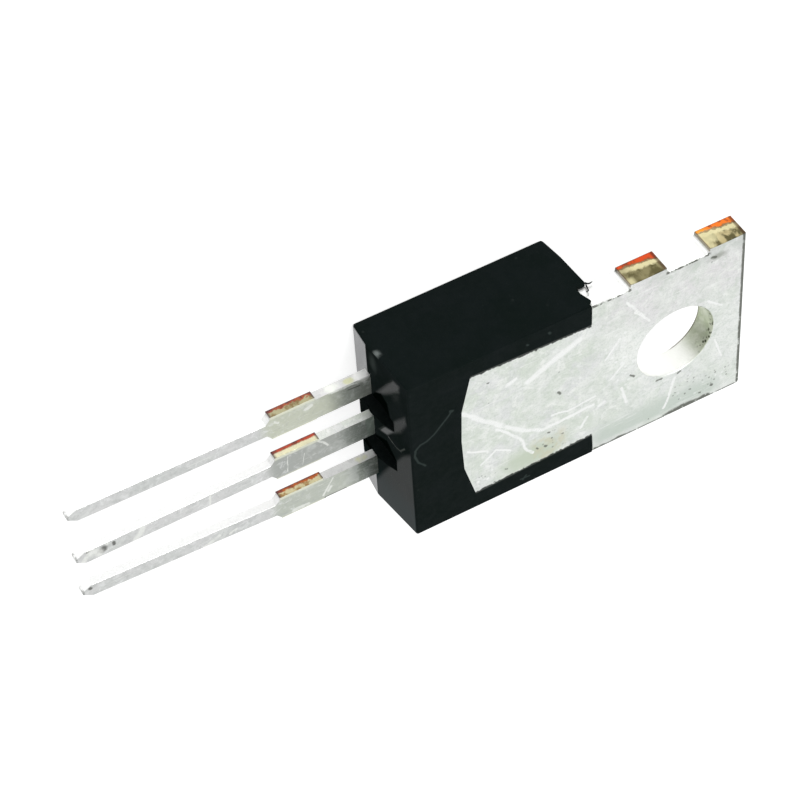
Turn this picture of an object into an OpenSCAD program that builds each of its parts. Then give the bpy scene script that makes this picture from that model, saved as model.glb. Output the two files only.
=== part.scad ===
// Single-ended power transistor in a three-lead, tab-mounted moulded package.
//
// Each piece is drawn in the assembly frame: X runs from the lead end of the body towards the tab,
// Y across the body, and Z from the metal mounting face (Z = 0) towards the plastic front.
// lay_down() then turns it over, so that the part lies on its plastic front with the mounting face
// up and the origin at the centre of the mounting hole, level with that face.
// Lengths are in millimetres and angles in degrees.

/* [Moulded body] */
// Length of the body from its lead end to the edge that overlaps the tab
body_l = 9.0; // [8.9:0.05:9.6]
// Width of the body at its parting line
body_w = 9.45; // [9.3:0.05:10.5]
// Thickness of the whole package, mounting face to plastic front
body_t = 4.23; // [4.1:0.01:5]
// Draft of the two end faces
end_draft = 5; // [2:0.5:8]
// Draft of the two long side faces
side_draft = 4; // [2:0.5:4.5]
// Length of the strips of resin beside the pad, from the lead end
strip_l = 8.56; // [7.8:0.02:8.7]
// Width of each notch in the lead end, between two leads
notch_w = 1.28; // [0.6:0.02:1.3]
// Width of the notches at their closed end
notch_tip_w = 0.56; // [0.2:0.02:0.6]
// Length of the taper at their closed end
notch_tip_l = 0.9; // [0.4:0.05:1.2]
// Depth of each notch, along the body
notch_depth = 0.8; // [0.4:0.05:0.9]
// Resin left between the mounting face and the notches' closed end
notch_floor = 1.16; // [1:0.02:1.6]
// Diameter of the ejector pin mark in the plastic front
ejector_d = 1.6; // [1:0.1:3]
// Depth of the ejector pin mark
ejector_depth = 0.06; // [0.03:0.01:0.15]

/* [Header plate] */
// Distance from the centre of the mounting hole to the lead end of the body
hole_to_body_end = 12.65; // [12:0.05:13.5]
// Distance from the centre of the mounting hole to the end of the tab
hole_to_tab_end = 3.3; // [2.9:0.05:4]
// Diameter of the mounting hole
hole_d = 3.75; // [3:0.05:4]
// Width of the tab
tab_w = 8.9; // [8.2:0.05:9.3]
// Thickness of the plate
tab_t = 1.2; // [1:0.05:1.3]
// Radius of the two corners at the tab's end
tab_corner_r = 0.15; // [0.05:0.05:0.6]
// Width of the exposed pad where it meets the tab
pad_w_tab = 6.84; // [5.5:0.02:7]
// Width of the exposed pad near the leads
pad_w_lead = 7.3; // [6.2:0.02:7.4]
// Distance from the lead end of the body to the start of the pad
pad_start = 2.33; // [2.25:0.01:2.8]
// Length of the pad's two cut corners, along the body
pad_corner_l = 0.55; // [0.2:0.05:1]
// Width of the pad's two cut corners, across the body
pad_corner_w = 1.9; // [0.5:0.05:2.4]
// Overhang of the locking lip that the resin grips
lip_w = 0.22; // [0.1:0.01:0.3]
// Thickness of the locking lip
lip_t = 0.5; // [0.3:0.05:0.8]

/* [Tie bar stubs] */
// Length of each stub along the edge of the tab
tie_l = 1.76; // [1:0.02:2.4]
// Spacing of the two stubs
tie_pitch = 3.81; // [3:0.01:3.9]
// Height of the stubs above the tab's edge
tie_h = 0.24; // [0.15:0.01:0.5]
// Radius at the root of the stubs
tie_root_r = 0.15; // [0.05:0.01:0.15]

/* [Leads] */
// Spacing of the leads
lead_pitch = 2.5; // [2.4:0.02:2.6]
// Thickness of the lead stock
lead_t = 0.42; // [0.35:0.01:0.6]
// Height of the leads' back faces above the mounting face
lead_z = 2.68; // [2.4:0.02:2.9]
// Reach of the leads from the lead end of the body
lead_l = 13.76; // [8:0.02:16]
// Reach of their wide part
wide_l = 4.8; // [4:0.05:5.6]
// Width of the wide part
wide_w = 1.12; // [0.9:0.02:1.2]
// Width of the narrow part
narrow_w = 0.66; // [0.5:0.02:0.8]
// Length of the shoulder between the wide and the narrow part
shoulder_l = 0.2; // [0.1:0.05:0.5]
// Length of the taper at the tips
tip_l = 0.42; // [0.2:0.02:0.8]
// Width of the tips
tip_w = 0.16; // [0.1:0.02:0.4]
// Length of the cut dam bar along each lead
dam_l = 2.05; // [1:0.05:2.6]
// Height of the cut dam bar on the side that faces the stubs
dam_h = 0.12; // [0.05:0.01:0.2]
// Height of the cut dam bar on the other side
dam_h_far = 0.05; // [0.02:0.01:0.15]
// Sideways drift of the gate lead's tip
gate_drift = -0.38; // [-0.6:0.02:0.6]
// Sideways drift of the source lead's tip
source_drift = 0.04; // [-0.6:0.02:0.6]
// Sideways drift of the drain lead's tip
drain_drift = -0.12; // [-0.6:0.02:0.6]

/* [Inside] */
// Width of the bonding posts on the two outer leads
post_w = 2.3; // [1.8:0.05:2.5]
// Length of the bonding posts
post_l = 0.95; // [0.8:0.05:1]
// Resin between the lead end of the body and the posts
post_inset = 1.0; // [0.95:0.05:1.2]
// Inside radius of the source lead's two bends
bend_r = 0.25; // [0.15:0.05:0.3]
// Length of the die along the body
die_l = 2.2; // [1.6:0.1:2.6]
// Width of the die
die_w = 3.4; // [3:0.1:4]
// Thickness of the die
die_t = 0.2; // [0.1:0.01:0.3]
// Distance from the start of the pad to the die
die_inset = 1.5; // [1.2:0.05:2]
// Thickness of the solder under the die
solder_t = 0.05; // [0.03:0.01:0.1]
// Width of solder that shows round the die
solder_rim = 0.1; // [0.05:0.01:0.2]
// Diameter of the bond wires
wire_d = 0.2; // [0.12:0.01:0.22]
// Number of gate wires
gate_wires = 2; // [1:1:2]
// Number of drain wires
drain_wires = 3; // [1:1:3]
// Spacing of neighbouring wires
wire_pitch = 0.36; // [0.34:0.01:0.4]
// Rise of a wire above the straight line between its bonds
wire_rise = 0.6; // [0.5:0.02:0.75]
// Distance from a bond to the edge that its wire crosses
bond_inset = 0.3; // [0.25:0.01:0.4]

/* [Hidden] */

// Rendering detail: circles stay smooth, and each bend has this many steps
$fn = 64;
bend_steps = 6;
// Overlap that joins two shapes of one piece, and overshoot of a cut
merge = 0.1;

// Body
parting_z = lead_z + lead_t / 2;
end_flare = parting_z * tan(end_draft);
side_flare = parting_z * tan(side_draft);
front_h = body_t - parting_z;

// Header plate
tab_end = hole_to_body_end + hole_to_tab_end;
pad_bulge = pad_corner_l / 8;

// Inner leads
post_end = post_inset + post_l;
ramp_low = pad_start - lead_t;
ramp_high = ramp_low - 0.9;

// Wires
gate_side = 1;
drain_side = -1;
die_start = pad_start + die_inset;
die_low = tab_t + solder_t;
die_top = die_low + die_t;
post_top = lead_z + lead_t;
foot_l = 2 * wire_d;
foot_w = 1.3 * wire_d;
foot_h = 0.75 * wire_d;

resin_black = "#1d2120";
tin = "#d4d8d4";
solder_grey = "#8f9193";
silicon = "#4b5064";
aluminium = "#e3e3e0";

// ---------------------------------------------------------------- helpers

function unit(v) = v / norm(v);
function turned_left(v) = [-v[1], v[0]];

// Points of the arc that rounds corner b of the path a-b-c
function rounded_corner(a, b, c, r) =
    let (
        u = unit(b - a), v = unit(c - b),
        turn = atan2(u[0] * v[1] - u[1] * v[0], u * v),
        side = sign(turn),
        start = b - u * r * tan(abs(turn) / 2),
        centre = start + turned_left(u) * side * r
    )
    [for (i = [0:bend_steps])
        let (w = turn * i / bend_steps)
        centre - side * r * (turned_left(u) * cos(w) - u * sin(w))];

// Outline of a strip of thickness t along path p, with mitred corners
function strip_outline(p, t) =
    let (
        last = len(p) - 1,
        dirs = [for (i = [0:last - 1]) unit(p[i + 1] - p[i])],
        normals = [for (i = [0:last])
            let (
                before = turned_left(dirs[max(i - 1, 0)]),
                after = turned_left(dirs[min(i, last - 1)])
            )
            (before + after) / (1 + before * after)]
    )
    concat(
        [for (i = [0:last]) p[i] + normals[i] * t / 2],
        [for (i = [last:-1:0]) p[i] - normals[i] * t / 2]
    );

// The finished pose: mounting face up, origin at the mounting hole
module lay_down() {
    rotate([180, 0, 0]) translate([-hole_to_body_end, 0, 0]) children();
}

// ---------------------------------------------------------------- moulded body

// Side view of the body: drafted both ways from the parting line at the lead end, and stepped
// over the tab at the other
module body_side_profile() {
    polygon([
        [0, 0],
        [strip_l, 0],
        [strip_l, tab_t],
        [body_l, tab_t],
        [body_l - (body_t - tab_t) * tan(end_draft), body_t],
        [-end_flare + front_h * tan(end_draft), body_t],
        [-end_flare, parting_z]
    ]);
}

// End view of the body, widest at the parting line
module body_end_profile() {
    half = body_w / 2;
    back_half = half - side_flare;
    front_half = half - front_h * tan(side_draft);
    polygon([
        [-back_half, 0], [back_half, 0], [half, parting_z],
        [front_half, body_t], [-front_half, body_t], [-half, parting_z]
    ]);
}

module body_block() {
    intersection() {
        translate([0, body_w / 2 + merge, 0]) rotate([90, 0, 0])
            linear_extrude(body_w + 2 * merge) body_side_profile();
        translate([-end_flare - merge, 0, 0]) rotate([90, 0, 90])
            linear_extrude(body_l + end_flare + 2 * merge) body_end_profile();
    }
}

// Notch between two leads, open at the lead end and at the plastic front
module lead_notch(y) {
    reach = end_flare + merge;
    half = notch_w / 2;
    tip = notch_tip_w / 2;
    full = notch_floor + notch_tip_l;
    translate([-reach, y, 0]) rotate([90, 0, 90]) linear_extrude(reach + notch_depth)
        polygon([
            [-tip, notch_floor], [tip, notch_floor], [half, full],
            [half, body_t + merge], [-half, body_t + merge], [-half, full]
        ]);
}

module ejector_mark() {
    translate([body_l / 2, 0, body_t - ejector_depth])
        cylinder(d = ejector_d, h = ejector_depth + merge);
}

// Everything that the resin flows round
module buried_pieces() {
    header_plate();
    source_lead();
    for (side = [gate_side, drain_side]) outer_lead(side, 0);
    solder_pad();
    die_chip();
    for (i = [1:gate_wires]) bond_wire(gate_side, i, gate_wires);
    for (i = [1:drain_wires]) bond_wire(drain_side, i, drain_wires);
}

module moulding() {
    color(resin_black) lay_down() difference() {
        body_block();
        buried_pieces();
        for (side = [-1, 1]) lead_notch(side * lead_pitch / 2);
        ejector_mark();
    }
}

// ---------------------------------------------------------------- header plate

// Outline of the pad: tapered towards the tab, with a bowed end between two cut corners
module pad_outline(grow) {
    lead_half = pad_w_lead / 2 + grow;
    tab_half = pad_w_tab / 2 + grow;
    near = pad_start - grow / 2;
    flat_half = lead_half - pad_corner_w;
    polygon([
        [strip_l + merge, -tab_half], [strip_l + merge, tab_half],
        [near + pad_corner_l, lead_half], [near + pad_bulge, flat_half], [near, 0],
        [near + pad_bulge, -flat_half], [near + pad_corner_l, -lead_half]
    ]);
}

// The tab, with rounded corners at its free end
module tab_outline() {
    r = tab_corner_r;
    difference() {
        translate([strip_l, -tab_w / 2]) square([tab_end - strip_l, tab_w]);
        translate([tab_end - r, tab_w / 2 - r]) difference() {
            square(r + merge);
            circle(r);
        }
    }
}

// One sheared tie bar stub, from the tab's edge outwards, with rounded roots
module tie_stub(x, root_sides) {
    edge = -tab_w / 2;
    r = tie_root_r;
    translate([x, edge - tie_h]) square([tie_l, tie_h + merge]);
    for (s = root_sides) {
        root = s < 0 ? x : x + tie_l;
        difference() {
            translate([s < 0 ? root - r : root - merge, edge - r]) square([r + merge, r + merge]);
            translate([root + s * r, edge - r]) circle(r);
        }
    }
}

module header_plate() {
    difference() {
        union() {
            linear_extrude(tab_t) {
                tab_outline();
                pad_outline(0);
                tie_stub(tab_end - tie_l, [-1]);
                tie_stub(tab_end - tie_l - tie_pitch, [-1, 1]);
            }
            translate([0, 0, tab_t - lip_t]) linear_extrude(lip_t) intersection() {
                pad_outline(lip_w);
                translate([0, -body_w / 2]) square([strip_l + merge, body_w]);
            }
        }
        translate([hole_to_body_end, 0, -merge]) cylinder(d = hole_d, h = tab_t + 2 * merge);
    }
}

// ---------------------------------------------------------------- leads

// Plan of a lead outside the body: wide part, cut dam bar, shoulder, narrow part and tapered tip.
// The dam bar's taller stump faces the tie bar stubs. Only the narrow part leans by drift.
module lead_plan(y, drift, root_x) {
    wide = wide_w / 2;
    narrow = narrow_w / 2;
    tip = tip_w / 2;
    lean = drift / (lead_l - wide_l);
    neck = -wide_l - shoulder_l;
    taper = -lead_l + tip_l;
    function leaned(x, off) = [x, y + off + lean * (-wide_l - x)];
    polygon([
        [root_x, y - wide], [root_x, y + wide], [-wide_l, y + wide],
        leaned(neck, narrow), leaned(taper, narrow), leaned(-lead_l, tip),
        leaned(-lead_l, -tip), leaned(taper, -narrow), leaned(neck, -narrow),
        [-wide_l, y - wide]
    ]);
    translate([-wide_l, y - wide - dam_h]) square([dam_l, wide_w + dam_h + dam_h_far]);
}

// Gate or drain lead: side is 1 or -1. Its inner end is a bonding post with a locking notch.
module outer_lead(side, drift) {
    y = side * lead_pitch;
    translate([0, 0, lead_z]) linear_extrude(lead_t) {
        lead_plan(y, drift, post_inset + merge);
        difference() {
            translate([post_inset, y - post_w / 2]) square([post_l, post_w]);
            translate([post_inset + post_l / 2, y + side * post_w / 2]) circle(post_l / 4);
        }
    }
}

// Source lead: one strip from the plate, down-set to the lead plane, and out through the body
module source_lead() {
    plate_mid = tab_t - lead_t / 2;
    root = [pad_start + merge, plate_mid];
    low = [ramp_low, plate_mid];
    high = [ramp_high, parting_z];
    outer = [0, parting_z];
    r = bend_r + lead_t / 2;
    path = concat(
        [root],
        rounded_corner(root, low, high, r),
        rounded_corner(low, high, outer, r),
        [outer]
    );
    translate([0, wide_w / 2, 0]) rotate([90, 0, 0])
        linear_extrude(wide_w) polygon(strip_outline(path, lead_t));
    translate([0, 0, lead_z]) linear_extrude(lead_t) lead_plan(0, source_drift, merge);
}

module header() {
    color(tin) lay_down() {
        header_plate();
        source_lead();
    }
}

module gate_lead() {
    color(tin) lay_down() outer_lead(gate_side, gate_drift);
}

module drain_lead() {
    color(tin) lay_down() outer_lead(drain_side, drain_drift);
}

// ---------------------------------------------------------------- die and wires

module solder_pad() {
    translate([die_start - solder_rim, -die_w / 2 - solder_rim, tab_t])
        cube([die_l + 2 * solder_rim, die_w + 2 * solder_rim, solder_t]);
}

module die_chip() {
    translate([die_start, -die_w / 2, die_low]) cube([die_l, die_w, die_t]);
}

// Wedge foot of a bond, lying on the surface under it
module wire_foot() {
    translate([-foot_l / 2, -foot_w / 2, 0]) cube([foot_l, foot_w, foot_h]);
}

// One arched wire from its bond on the die to its bond on the post, with a wedge foot at each
module bond_wire(side, i, count) {
    step = (i - (count + 1) / 2) * wire_pitch;
    from = [die_start + bond_inset, side * (die_w / 2 - bond_inset - 0.35) + step, die_top];
    to = [post_end - bond_inset, side * (lead_pitch - post_w / 4) + step, post_top];
    span = norm([to[0] - from[0], to[1] - from[1]]);
    climb = to[2] - from[2];
    chord = norm([span, climb]);
    radius = (chord * chord / 4 + wire_rise * wire_rise) / (2 * wire_rise);
    half_turn = asin(chord / 2 / radius);
    slope = atan2(climb, span);
    translate(from) rotate([0, 0, atan2(to[1] - from[1], to[0] - from[0])]) {
        wire_foot();
        translate([span, 0, climb]) wire_foot();
        translate([0, 0, foot_h]) rotate([90, 0, 0]) rotate([0, 0, slope])
            translate([chord / 2, wire_rise - radius, 0]) rotate([0, 0, 90 - half_turn])
            rotate_extrude(angle = 2 * half_turn) translate([radius, 0]) rotate([0, 0, 22.5])
            circle(d = wire_d, $fn = 8);
    }
}

module die_solder() { color(solder_grey) lay_down() solder_pad(); }

module die() { color(silicon) lay_down() die_chip(); }

module gate_wire(i) { color(aluminium) lay_down() bond_wire(gate_side, i, gate_wires); }

module drain_wire(i) { color(aluminium) lay_down() bond_wire(drain_side, i, drain_wires); }

// ---------------------------------------------------------------- nodes

moulding();
header();
gate_lead();
drain_lead();
die_solder();
die();
for (i = [1:gate_wires]) gate_wire(i);
for (i = [1:drain_wires]) drain_wire(i);
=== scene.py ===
"""Dresses the CAD of a power transistor on its mounting tab, and sets up the camera and the light.

Places inside the materials are in millimetres in the shared frame: its origin is the middle of the
mounting hole on the mounting face, +Z leaves that face, the leads run to -X and the tie bar stubs stand
on the +Y side. The first lead is the one with the highest Y.
"""
import math

import bmesh
import bpy
from mathutils import Matrix, Vector


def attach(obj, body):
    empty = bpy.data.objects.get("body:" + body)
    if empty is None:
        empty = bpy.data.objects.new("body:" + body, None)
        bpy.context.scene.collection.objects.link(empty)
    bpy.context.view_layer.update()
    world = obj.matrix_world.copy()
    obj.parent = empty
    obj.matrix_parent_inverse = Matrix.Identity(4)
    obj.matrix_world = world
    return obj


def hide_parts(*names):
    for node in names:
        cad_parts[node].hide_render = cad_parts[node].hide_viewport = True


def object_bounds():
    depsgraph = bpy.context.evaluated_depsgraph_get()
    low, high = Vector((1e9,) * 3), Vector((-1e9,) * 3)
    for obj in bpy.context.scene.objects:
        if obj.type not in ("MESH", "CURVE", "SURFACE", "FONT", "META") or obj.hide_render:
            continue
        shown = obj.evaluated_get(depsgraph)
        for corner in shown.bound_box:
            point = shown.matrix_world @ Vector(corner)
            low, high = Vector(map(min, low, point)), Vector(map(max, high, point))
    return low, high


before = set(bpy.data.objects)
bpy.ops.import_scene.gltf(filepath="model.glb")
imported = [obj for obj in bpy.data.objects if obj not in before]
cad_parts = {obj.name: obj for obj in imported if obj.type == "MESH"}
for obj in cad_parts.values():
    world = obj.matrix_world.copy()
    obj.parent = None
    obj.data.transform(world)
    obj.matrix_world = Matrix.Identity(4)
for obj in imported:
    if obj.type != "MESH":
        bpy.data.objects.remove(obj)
cad_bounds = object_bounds()
MM = 0.001

# Camera: where it stands and the directions of its right and its up
CAMERA_AT = Vector((-46.60, 90.58, 68.41)) * MM
CAMERA_RIGHT = Vector((0.870, -0.050, 0.491))
CAMERA_UP = Vector((0.398, 0.660, -0.638))
LENS_MM = 132.05
SENSOR_MM = 36

# Sizes of the part, in millimetres in the shared frame
BODY_END = -12.65  # lead end of the body
BODY_L = 9.0
BODY_T = 4.23
HALF_W = 4.725
PARTING = 2.89  # depth of the parting line
SIDE_DRAFT = math.radians(4)
END_DRAFT = math.radians(5)
STRIP_L = 8.56  # length of the body beside the pad
TAB_START = BODY_END + STRIP_L
TAB_END = 3.3
TAB_T = 1.2
TAB_HALF = 4.45
PAD_START = BODY_END + 2.33
PAD_HALF = 3.65  # at its start
PAD_TAPER = 0.0369  # narrowing of each side per millimetre
HOLE_R = 1.875
STUBS = (-1.39, 2.42)  # middles of the two tie bar stubs, in X
BETWEEN_STUBS = (0.4, 0.6)  # a narrow step in X that tells them apart
LEAD_Z = 2.68  # depth of the leads' upper faces
PITCH = 2.5
WIDE_HALF = 0.56
WIDE_END = BODY_END - 4.8
NARROW_HALF = 0.33
DAM_AT = BODY_END - 3.77  # middle of the dam bars
DAM_HALF = 1.025
TIP_X = BODY_END - 13.76

# How worked_piece finds and rounds edges
SAME_POINT = 1e-7  # metres
SAME_CORNER = 2e-5  # metres
FLAT_DEGREES = 0.4
SHADED_SMOOTH_DEGREES = 25
ROUNDED_DEGREES = 20
BEVEL_SEGMENTS = 3


def c(x, y):
    """A point given from the lead end of the body, Y down, in the shared frame."""
    return (x + BODY_END, -y)


def on_side(x, z):
    """A point on the upper side face of the body, X from its lead end and Z as a depth."""
    return (x + BODY_END, HALF_W - abs(z - PARTING) * math.tan(SIDE_DRAFT), -z)


# ---------------------------------------------------------------- listed marks

# Strokes, each as its width and the points of its path in X and Y
TAB_SCRATCHES = [
    (0.16, [c(2.45, -1.65), c(3.1, -0.95), c(4.0, -0.05), c(5.25, 1.1)]),
    (0.13, [c(5.25, 1.1), c(6.1, 1.6), c(7.0, 1.56), c(8.6, 1.5)]),
    (0.10, [c(4.0, 0.25), c(4.7, 1.0), c(5.15, 1.7), c(5.35, 2.4), c(5.65, 2.75)]),
    (0.08, [c(6.6, 0.95), c(7.4, 1.15), c(8.7, 1.0)]),
    (0.24, [c(5.5, -1.75), c(6.3, -2.15), c(7.2, -2.55), c(7.95, -2.85)]),
    (0.14, [c(4.55, -2.1), c(4.95, -2.3)]),
    (0.09, [c(10.2, -3.75), c(10.7, -3.05), c(11.1, -2.35)]),
    (0.08, [c(10.6, -3.0), c(11.3, -2.1)]),
    (0.10, [c(12.65, 2.2), c(12.45, 3.0), c(12.15, 3.85)]),
    (0.10, [c(10.0, 1.3), c(10.25, 2.3)]),
    (0.08, [c(2.6, 0.8), c(3.5, 1.35)]),
    (0.08, [c(3.2, 2.0), c(3.9, 1.5), c(4.6, 1.95)]),
    (0.14, [c(8.9, 1.75), c(9.15, 1.65)]),
    (0.07, [c(14.2, -1.6), c(14.9, -1.0)]),
    (0.07, [c(14.6, 1.0), c(15.0, 2.2)]),
    (0.08, [c(8.0, 2.6), c(8.3, 2.1)]),
    (0.09, [c(9.2, -0.9), c(9.9, -1.8)]),
    (0.08, [c(9.5, 0.4), c(10.1, -0.2)])]
TAB_SPECKS = [
    (0.0864, [c(6.93, -0.25), c(6.98, -0.1)]),
    (0.072, [c(6.42, 1.93), c(6.5, 1.98)]),
    (0.0792, [c(6.25, 2.7), c(6.3, 2.75)]),
    (0.072, [c(5.85, 2.6), c(5.9, 2.65)]),
    (0.055, [c(3.62, -2.78), c(3.7, -2.76)]),
    (0.0864, [c(11.75, 1.85), c(11.95, 1.9)]),
    (0.0864, [c(12.8, 2.02), c(12.95, 1.95)]),
    (0.0864, [c(10.45, 0.75), c(10.6, 0.9)]),
    (0.0864, [c(14.3, -4.12), c(14.5, -4.08)]),
    (0.0576, [c(12.6, -4.42), c(12.9, -4.38)]),
    (0.0864, [c(14.55, 3.75), c(14.6, 3.8)]),
    (0.0576, [c(13.9, 3.9), c(14.0, 3.95)]),
    (0.0504, [c(4.3, 2.95), c(4.4, 3.0)])]
TAB_BURRS = [
    (0.24, [c(12.25, 4.40), c(12.6, 4.36), c(12.9, 4.41), c(13.3, 4.36),
            c(13.7, 4.41), c(14.3, 4.37)]),
    (0.15, [c(8.7, 4.39), c(9.3, 4.42), c(9.9, 4.40), c(10.4, 4.43)])]
LEAD_SPOTS = [
    (0.25, [(-25.24, -0.02), (-25.20, 0.0)]),
    (0.11, [(-24.74, 0.12), (-24.73, 0.0)]),
    (0.08, [(-25.9, 0.22), (-25.8, 0.24)]),
    (0.12, [(-26.08, -1.95), (-26.05, -2.0)]),
    (0.07, [(-14.45, -3.05), (-14.75, -3.06), (-15.4, -3.06)]),
    (0.05, [(-13.4, 2.72), (-13.9, 2.75)])]
LEAD_SCRATCHES = [
    (0.20, [(-23.8, -0.28), (-23.55, -0.05), (-23.38, 0.26)]),
    (0.04, [(-16.88, 0.45), (-16.95, -0.4)]),
    (0.08, [(-15.45, 0.55), (-15.2, 0.3), (-15.05, 0.05)]),
    (0.025, [(-16.12, 0.2), (-16.25, -0.45)]),
    (0.12, [(-25.0, 0.18), (-25.05, 0.25)]),
    (0.32, [(-25.42, -0.12), (-25.72, 0.12)]),
    (0.16, [(-25.98, -0.05), (-26.1, -0.2)]),
    (0.11, [(-20.95, -2.62), (-20.3, -2.42)]),
    (0.09, [(-19.8, -2.55), (-19.5, -2.45)]),
    (0.14, [(-16.9, -2.95), (-16.2, -3.0)]),
    (0.07, [(-15.0, -2.1), (-15.5, -2.9)]),
    (0.10, [(-15.1, -2.55), (-15.25, -2.75)]),
    (0.12, [(-15.85, 2.75), (-15.6, 2.85)]),
    (0.10, [(-17.25, 2.8), (-17.1, 2.7)]),
    (0.06, [(-20.4, 0.25), (-20.5, -0.3)]),
    (0.10, [(-13.0, 2.95), (-14.6, 3.02)])]
RESIN_SCUFFS = [
    (0.07, [c(1.94, -2.1), c(1.45, -1.55), c(1.1, -1.2), c(0.75, -1.0), c(0.44, -0.94)]),
    (0.07, [c(0.44, -0.94), c(0.2, -0.7), c(0.17, -0.4), c(0.3, 0.05), c(0.6, 0.44)]),
    (0.10, [c(1.9, -2.15), c(2.0, -2.1)]),
    (0.06, [c(5.15, 4.2), c(5.3, 4.0)]),
    (0.06, [c(5.05, 4.1), c(5.45, 4.15)]),
    (0.09, [c(6.55, -4.1), c(6.6, -4.05)]),
    (0.07, [c(5.5, -4.0), c(5.55, -3.95)]),
    (0.09, [c(3.6, -3.5), c(3.65, -3.45)])]

# Areas of the body's lead end, as convex outlines in Y and Z: (share of the polish, softness, points)
POLISHED = [
    (0.17, 0.15, [(-2.24, -2.02), (-0.11, -0.68), (0.67, 0.1), (-4.7, 0.1), (-4.7, -2.89),
                  (-3.7, -2.89)]),
    (0.31, 0.14, [(2.41, -2.23), (4.23, -1.0), (4.25, -0.55), (3.86, -0.6), (2.77, -1.73)]),
    (0.20, 0.12, [(1.65, -1.12), (2.64, -0.27), (2.26, -0.20), (1.35, -0.67), (0.87, -1.19)]),
    (0.50, 0.08, [(0.04, -2.35), (0.59, -1.93), (0.86, -1.25), (0.26, -1.73)]),
    (0.35, 0.03, [(0.0, -1.05), (0.08, -1.05), (0.24, -1.65), (0.17, -1.68)]),
    (0.35, 0.03, [(0.03, -1.05), (0.08, -0.72), (0.15, -0.76), (0.10, -1.05)]),
    (0.35, 0.03, [(0.08, -0.78), (0.55, -0.42), (0.58, -0.48), (0.12, -0.84)])]
# Areas of the body's lead end between the leads, as convex outlines in Y and Z, painted near black
# without coat: painted shade
PAINTED_SHADE_AREAS = [
    [(-0.5, -4.4), (-0.1, -3.47), (1.0, -1.54), (1.41, -1.36), (2.33, -1.55), (2.57, -1.96),
     (2.28, -2.42), (1.0, -3.3), (0.8, -4.4)],
    [(-2.4, -4.4), (-2.05, -2.63), (-1.36, -1.18), (-0.88, -1.13), (-0.17, -1.79), (-0.07, -2.21),
     (-0.6, -2.78), (-1.3, -4.4)]]

# The corner beside the tab is ragged, where the flash broke off. Each point is X from the lead end of
# the body, and the depth below the mounting face.
STEP_BREAK = [(8.90, 1.14), (8.79, 1.12), (8.65, 1.11)]
STRIP_BREAK = [(8.46, 1.0), (8.475, 0.83), (8.50, 0.69), (8.555, 0.53), (8.58, 0.40), (8.665, 0.32),
               (8.67, 0.24), (8.58, 0.145), (8.50, 0.107)]
CURL_Y = 4.58
CURL_R = 0.03
CURL = [[(8.90, 1.20), (8.97, 1.15), (8.93, 1.04), (8.90, 0.91), (8.86, 0.76), (8.74, 0.73)],
        [(8.90, 1.22), (8.98, 1.18), (9.04, 1.09), (9.13, 1.07), (9.25, 1.10)]]


# ---------------------------------------------------------------- camera, stage and lights


def link(obj):
    bpy.context.scene.collection.objects.link(obj)
    return obj


def add_camera():
    data = bpy.data.cameras.new("camera")
    data.lens = LENS_MM
    data.sensor_width = SENSOR_MM
    data.clip_start = 0.01
    data.clip_end = 5
    camera = link(bpy.data.objects.new("camera", data))
    right = CAMERA_RIGHT.normalized()
    back = right.cross(CAMERA_UP).normalized()
    up = back.cross(right)
    turn = Matrix((right, up, back)).transposed().to_4x4()
    camera.matrix_world = Matrix.Translation(CAMERA_AT) @ turn
    bpy.context.scene.camera = camera


def add_area(name, at, size, watts, color):
    """A round soft lamp that faces the middle of the part."""
    data = bpy.data.lights.new(name, "AREA")
    data.shape = "DISK"
    data.size = size
    data.energy = watts
    data.color = color
    lamp = link(bpy.data.objects.new(name, data))
    lamp.location = at
    middle = Vector((-8, 0, -1)) * MM
    lamp.rotation_euler = (middle - Vector(at)).to_track_quat("-Z", "Y").to_euler()


# ---------------------------------------------------------------- node helpers


# ---------------------------------------------------------------- node helpers


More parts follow.
